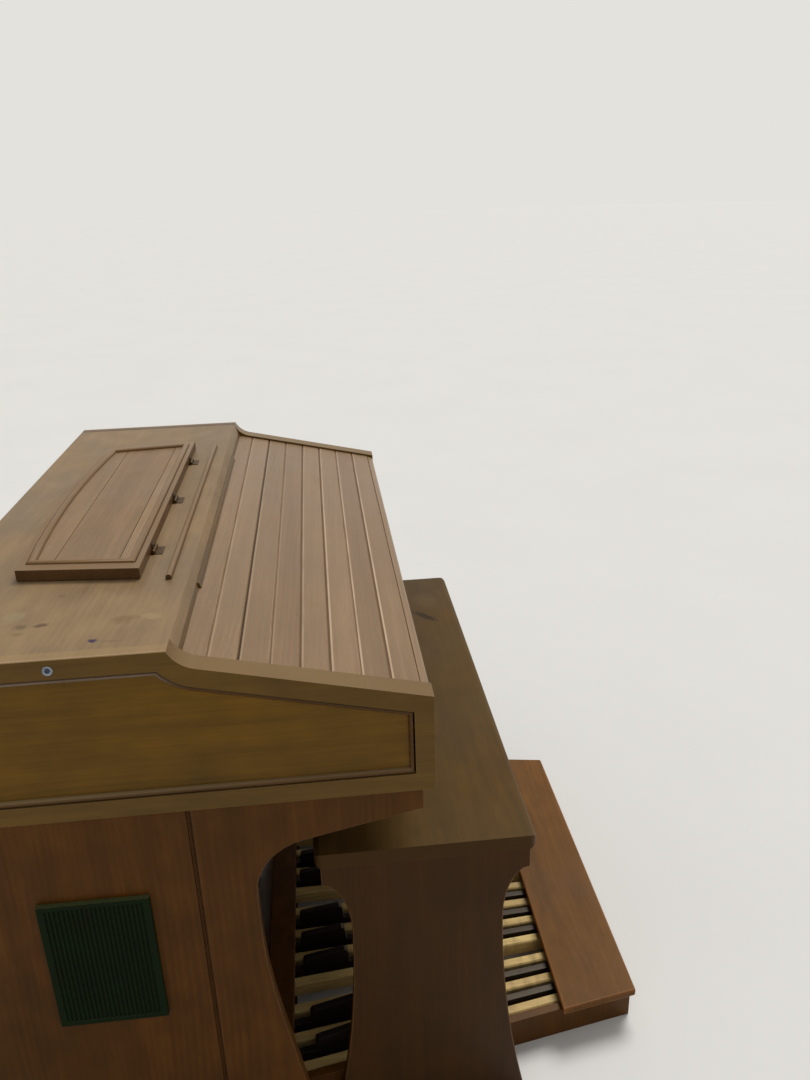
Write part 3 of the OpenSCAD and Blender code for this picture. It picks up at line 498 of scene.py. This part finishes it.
FINISHES.update({
    "grille": grille_finish(),
    "canvas": canvas_finish(),
    "brass": fine_finish("brass_finish", 320.0, (60, 43, 24), (98, 74, 42), (0.34, 0.54), 0.00005,
                         Metallic=1.0),
    "nickel": fine_finish("nickel_finish", 300.0, (110, 116, 128), (158, 166, 178), (0.24, 0.4), 0.00003,
                          Metallic=1.0),
    "steel": fine_finish("steel_finish", 300.0, (44, 50, 64), (84, 90, 104), (0.3, 0.5), 0.00004,
                         Metallic=1.0),
    "tread": fine_finish("tread_finish", 260.0, (20, 20, 20), (40, 39, 37), (0.55, 0.75), 0.0002,
                         Specular_IOR_Level=0.3),
})


# Soft edges on the nodes

def bend_group(name, limit):
    """A node group with its ends and a comparison that is true on edges that bend more than a limit."""
    group = bpy.data.node_groups.new(name, "GeometryNodeTree")
    group.interface.new_socket("Geometry", in_out="INPUT", socket_type="NodeSocketGeometry")
    group.interface.new_socket("Geometry", in_out="OUTPUT", socket_type="NodeSocketGeometry")
    source, result = group.nodes.new("NodeGroupInput"), group.nodes.new("NodeGroupOutput")
    angle = group.nodes.new("GeometryNodeInputMeshEdgeAngle")
    bend = group.nodes.new("FunctionNodeCompare")
    bend.operation = "GREATER_THAN"
    bend.inputs[1].default_value = limit
    group.links.new(angle.outputs["Unsigned Angle"], bend.inputs[0])
    return group, source.outputs[0], bend.outputs[0], result.inputs[0]


def edge_weights(name, limit):
    """Nodes that mark every edge that bends more than a limit, to be rounded."""
    group, source, bend, result = bend_group(name, limit)
    store = group.nodes.new("GeometryNodeStoreNamedAttribute")
    store.data_type = "FLOAT"
    store.domain = "EDGE"
    store.inputs["Name"].default_value = "bevel_weight_edge"
    group.links.new(source, store.inputs["Geometry"])
    group.links.new(bend, store.inputs["Value"])
    group.links.new(store.outputs[0], result)
    return group


def smooth_group(name, limit):
    """Nodes that shade smooth across every edge that bends less than a limit."""
    group, source, bend, result = bend_group(name, limit)
    faces = group.nodes.new("GeometryNodeSetShadeSmooth")
    faces.domain = "FACE"
    edges = group.nodes.new("GeometryNodeSetShadeSmooth")
    edges.domain = "EDGE"
    edges.inputs["Shade Smooth"].default_value = False
    group.links.new(source, faces.inputs["Geometry"])
    group.links.new(faces.outputs[0], edges.inputs["Geometry"])
    group.links.new(bend, edges.inputs["Selection"])
    group.links.new(edges.outputs[0], result)
    return group


ALL_EDGES = edge_weights("all_edges", radians(34))
SQUARE_EDGES = edge_weights("square_edges", radians(60))
SMOOTH = smooth_group("smooth_by_angle", radians(38))
# Vertices closer than this are one, and faces that bend less than this are one face
WELD_GAP = 0.00002
FLAT_ANGLE = radians(0.6)


def soften(piece, width, edges, edge_slot):
    """Rounds the sharp edges of a piece by modifiers, and shades it smooth."""
    weld = piece.modifiers.new("weld", "WELD")
    weld.merge_threshold = WELD_GAP
    flat = piece.modifiers.new("flat", "DECIMATE")
    flat.decimate_type = "DISSOLVE"
    flat.angle_limit = FLAT_ANGLE
    if width:
        marked = piece.modifiers.new("edges", "NODES")
        marked.node_group = edges
        bevel = piece.modifiers.new("bevel", "BEVEL")
        bevel.limit_method = "WEIGHT"
        bevel.width = width
        bevel.segments = 3
        bevel.use_clamp_overlap = True
        bevel.material = edge_slot
    smooth = piece.modifiers.new("smooth", "NODES")
    smooth.node_group = SMOOTH
    weighted = piece.modifiers.new("weighted", "WEIGHTED_NORMAL")
    weighted.keep_sharp = True


def dress(nodes, finish, width=0.0, edges=ALL_EDGES, edge_finish=None):
    """Gives CAD nodes their finish and their soft edges, which may have a finish of their own."""
    for node in nodes.split():
        piece = frame["nodes"][node]
        piece.data.materials.clear()
        piece.data.materials.append(FINISHES[finish])
        if edge_finish:
            piece.data.materials.append(FINISHES[edge_finish])
        soften(piece, width, edges, 1 if edge_finish else -1)


dress("top_board", "top", 0.0008, edges=SQUARE_EDGES)
# The rounded edges of the cheeks take a paler finish, a painted edge highlight
dress("cheek_left cheek_right", "cheek", 0.0022, edge_finish="edge_highlight")
dress("cheek_panels", "panel")
dress("cheek_beads", "bead")
dress("fascia key_slip", "fascia", 0.0012)
dress("tambour_slats", "slat")
dress("tambour_canvas", "canvas")
dress("tambour_rail", "rail", 0.0012)
dress("key_bed", "inner", 0.001)
dress("pedal_hinge_rail", "inner")
dress("back_panel", "back", 0.001)
# The rounded edges of these lower pieces take a paler finish, a painted edge highlight
dress("side_panel_left side_panel_right", "lower", 0.0012, edge_finish="lower_edge_highlight")
dress("bracket_left bracket_right", "lower", 0.0015, edge_finish="lower_edge_highlight")
dress("side_grilles", "grille", 0.0005)
dress("knee_panel plinth", "lower", 0.001)
dress("swell_shoes", "tread", 0.0015)
dress("desk_ledge", "desk", 0.0006)
dress("desk_hinges desk_knuckles", "brass")
dress("music_desk", "desk", 0.0018)
dress("music_desk_panel", "desk_panel", 0.0006)
dress("music_desk_bead", "desk")
dress("bench_top", "bench")
# The rounded edges of the bench ends take a paler finish, a painted edge highlight
dress("bench_end_left bench_end_right", "bench_end", 0.002, edge_finish="lower_edge_highlight")
dress("bench_rails", "bench_end", 0.002)
# The rounded near edge of the heel board takes a paler, more orange finish, a painted edge highlight
dress("pedal_heel_board", "heel", 0.0035, edge_finish="heel_edge_highlight")
dress("pedal_cheeks", "lower", 0.0015)
dress("pedal_toe_rail", "lower", 0.002)
for row in record["subparts"]:
    if row["material_slot"] in ("natural_wood", "sharp_wood"):
        dress(row["node"], row["material_slot"].split("_")[0], 0.0012)


# Hardware

def turned(mesh, profile, matrix, steps=24):
    """Adds a body of revolution to a bmesh: profile is a list of radius and height."""
    rings = []
    for radius, height in profile:
        if radius == 0:
            rings.append([mesh.verts.new(matrix @ Vector((0, 0, height)))])
            continue
        turn = [2 * pi * index / steps for index in range(steps)]
        ring = [Vector((radius * cos(angle), radius * sin(angle), height)) for angle in turn]
        rings.append([mesh.verts.new(matrix @ point) for point in ring])
    for lower, upper in zip(rings, rings[1:]):
        for index in range(steps):
            corners = [lower[index % len(lower)], lower[(index + 1) % len(lower)],
                       upper[(index + 1) % len(upper)], upper[index % len(upper)]]
            unique = list(dict.fromkeys(corners))
            if len(unique) > 2:
                mesh.faces.new(unique)


def finish_mesh(name, mesh, finish, body):
    """Turns a bmesh into a piece that rides on a body and stands in a material slot."""
    bmesh.ops.recalc_face_normals(mesh, faces=mesh.faces)
    data = bpy.data.meshes.new(name)
    mesh.to_mesh(data)
    mesh.free()
    data.materials.append(FINISHES[finish])
    piece = bpy.data.objects.new(name, data)
    bpy.context.scene.collection.objects.link(piece)
    smooth = piece.modifiers.new("smooth", "NODES")
    smooth.node_group = SMOOTH
    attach(piece, body)


def facing(point, direction):
    """Matrix that puts a turned body at a point with its axis along a direction."""
    return Matrix.Translation(point) @ Vector(direction).to_track_quat("Z", "Y").to_matrix().to_4x4()


# Profiles of a screw cup, of its screw's head and of a leaf screw's head, as radius and height in metres
CUP = [(0.0, 0.0), (0.0074, 0.0), (0.0074, 0.0006), (0.0068, 0.0013), (0.0056, 0.0015), (0.0048, 0.0011),
       (0.0042, 0.0004), (0.0, 0.0004)]
HEAD = [(0.0, 0.0004), (0.0036, 0.0004), (0.0035, 0.0010), (0.0024, 0.0014), (0.0010, 0.0015),
        (0.0009, 0.0008), (0.0, 0.0008)]
LEAF_HEAD = [(0.0, 0.0), (0.0020, 0.0), (0.0019, 0.0003), (0.0012, 0.0005), (0.0, 0.0006)]


def cupped_screws(name, places):
    """Screws in cups. places is a list of a point and the direction that its screw faces."""
    cups, heads = bmesh.new(), bmesh.new()
    for point, direction in places:
        turned(cups, CUP, facing(point, direction))
        turned(heads, HEAD, facing(point, direction), 20)
    finish_mesh(name + "_cups", cups, "nickel", "root")
    finish_mesh(name + "_heads", heads, "steel", "root")


def leaf_screws():
    """Small screws in the leaves of the three hinges of the music desk.

    Each hinge has two fixed leaves on the top, one knuckle's width from its middle, and one leaf between
    them on the front of the desk.
    """
    fixed, moving = bmesh.new(), bmesh.new()
    knuckles_low, knuckles_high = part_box("desk_knuckles")
    leaf_t, from_front, from_top, steps = 0.0012, 0.0055, 0.0045, 16
    knuckle_w = (hinges_high.x - hinges_low.x - (knuckles_high.x - knuckles_low.x)) / 2
    for middle in (knuckles_low.x + knuckle_w / 2, 0.0, knuckles_high.x - knuckle_w / 2):
        for side in (-1, 1):
            point = (middle + side * knuckle_w, hinges_low.y + from_front, hinges_low.z + leaf_t)
            turned(fixed, LEAF_HEAD, facing(point, (0, 0, 1)), steps)
        point = (middle, desk_low.y - leaf_t, knuckles_high.z - from_top)
        turned(moving, LEAF_HEAD, facing(point, (0, -1, 0)), steps)
    finish_mesh("hinge_screws", fixed, "steel", "root")
    finish_mesh("hinge_screws_desk", moving, "steel", "music_desk")


def shoe_treads():
    """Ribs across the slanted faces of the two swell shoes."""
    mesh = bmesh.new()
    pitch, half, proud, sunk, margin = 0.0085, 0.0019, 0.0016, 0.0002, 0.007
    shoe_w, shoe_gap, shoe_t = 0.092, 0.014, 0.012
    above_foot, below_head, sides = 0.012, 0.008, 6
    foot = Vector((0, shoes_low.y, shoes_low.z + above_foot))
    head = Vector((0, shoes_high.y - shoe_t, shoes_high.z - below_head))
    up = (head - foot).normalized()
    out = Vector((0, -up.z, up.y))
    arc = [pi * step / sides for step in range(sides + 1)]
    section = [up * (half * cos(a)) + out * (proud * sin(a) - sunk) for a in arc]
    for left in (shoes_low.x, shoes_low.x + shoe_w + shoe_gap):
        for step in range(int((head - foot).length / pitch) + 1):
            centre = foot + up * (step * pitch)
            ends = []
            for x in (left + margin, left + shoe_w - margin):
                ends.append([mesh.verts.new(centre + corner + Vector((x, 0, 0))) for corner in section])
            for index in range(len(section)):
                after = (index + 1) % len(section)
                mesh.faces.new([ends[0][index], ends[0][after], ends[1][after], ends[1][index]])
            for end in ends:
                mesh.faces.new(end)
    finish_mesh("shoe_treads", mesh, "tread", "root")


def cheek_screws():
    """One screw high in the outer face of each cheek."""
    from_front, from_top = 0.171, 0.016
    y, z = top_low.y + from_front, top_high.z - from_top
    cupped_screws("cheek_screw", [((side * top_high.x, y, z), (side, 0, 0)) for side in (-1, 1)])


def back_screws():
    """Screws round the edge of the back: a row up each side, and four between them at top and bottom."""
    margin, side_margin, gaps = 0.03, 0.022, 5
    step_z = (back_high.z - back_low.z - 2 * margin) / gaps
    heights = [back_low.z + margin + step * step_z for step in range(gaps + 1)]
    places = [(side * (back_high.x - side_margin), z) for side in (-1, 1) for z in heights]
    between = [share * back_high.x for share in (-0.6, -0.2, 0.2, 0.6)]
    places += [(x, z) for x in between for z in (heights[0], heights[-1])]
    cupped_screws("back_screw", [((x, back_high.y, z), (0, 1, 0)) for x, z in places])


cheek_screws()
back_screws()
leaf_screws()
shoe_treads()


# Floor, lights and camera

BACKDROP = (228, 226, 221)


def stage_floor():
    """A pale floor so large that its edge meets the backdrop."""
    shader = Shader("floor_finish", rough=0.9, Specular_IOR_Level=0.2)
    cloud = shader.even_noise(shader.place(), 1.5)
    shader.colour(shader.ramp(cloud, (0.3, (225, 225, 223)), (0.7, (227, 227, 225))))
    bpy.ops.mesh.primitive_circle_add(vertices=64, radius=80, fill_type="NGON", location=(0, 0, 0))
    floor = bpy.context.object
    floor.name = "stage_floor"
    floor.data.materials.append(shader.material)


def sun_light(name, direction, strength, angle):
    """A soft lamp far off that shines along a direction. angle is how wide it looks, in degrees."""
    light = bpy.data.lights.new(name, "SUN")
    light.energy = strength
    light.angle = radians(angle)
    light.color = (1.0, 0.97, 0.93)
    lamp = bpy.data.objects.new(name, light)
    lamp.rotation_euler = Vector(direction).to_track_quat("-Z", "Y").to_euler()
    bpy.context.scene.collection.objects.link(lamp)


def world_light(strength):
    """Soft light from all round, and a plain backdrop for what the camera and reflections see."""
    world = bpy.data.worlds.new("studio")
    world.use_nodes = True
    bpy.context.scene.world = world
    nodes, links = world.node_tree.nodes, world.node_tree.links
    nodes.clear()
    path = nodes.new("ShaderNodeLightPath")
    seen = nodes.new("ShaderNodeMath")
    seen.operation = "MAXIMUM"
    through = nodes.new("ShaderNodeMath")
    through.operation = "MAXIMUM"
    links.new(path.outputs["Is Camera Ray"], seen.inputs[0])
    links.new(path.outputs["Is Glossy Ray"], through.inputs[0])
    links.new(path.outputs["Is Transmission Ray"], through.inputs[1])
    links.new(through.outputs[0], seen.inputs[1])
    soft, plain = nodes.new("ShaderNodeBackground"), nodes.new("ShaderNodeBackground")
    soft.inputs[0].default_value = (1.0, 0.985, 0.965, 1)
    soft.inputs[1].default_value = strength
    plain.inputs[0].default_value = srgb(BACKDROP)
    mix = nodes.new("ShaderNodeMixShader")
    output = nodes.new("ShaderNodeOutputWorld")
    links.new(seen.outputs[0], mix.inputs[0])
    links.new(soft.outputs[0], mix.inputs[1])
    links.new(plain.outputs[0], mix.inputs[2])
    links.new(mix.outputs[0], output.inputs[0])


def photo_camera():
    """The camera of the photograph: its place, its turn, tilt and roll, and its focal length in pixels."""
    place = Vector((-1.7953, -0.0383, 1.6190))
    turn, tilt, roll = radians(-5.305), radians(21.427), radians(1.787)
    focal, long_side, sensor = 891.7, 1080, 36.0
    ahead = Vector((cos(tilt) * cos(turn), cos(tilt) * sin(turn), -sin(tilt)))
    right = Vector((sin(turn), -cos(turn), 0))
    down = ahead.cross(right)
    level = right * cos(roll) + down * sin(roll)
    upright = right * sin(roll) - down * cos(roll)
    camera = bpy.data.objects.new("camera", bpy.data.cameras.new("camera"))
    camera.data.sensor_width = sensor
    camera.data.lens = focal / long_side * sensor
    camera.data.clip_start = 0.05
    camera.matrix_world = Matrix((
        (level.x, upright.x, -ahead.x, place.x),
        (level.y, upright.y, -ahead.y, place.y),
        (level.z, upright.z, -ahead.z, place.z),
        (0, 0, 0, 1),
    ))
    bpy.context.scene.collection.objects.link(camera)
    bpy.context.scene.camera = camera


stage_floor()
world_light(0.45)
sun_light("key", (-0.55, 0.35, -1.0), 2.05, 28)
photo_camera()
bpy.context.scene.view_settings.view_transform = "Standard"
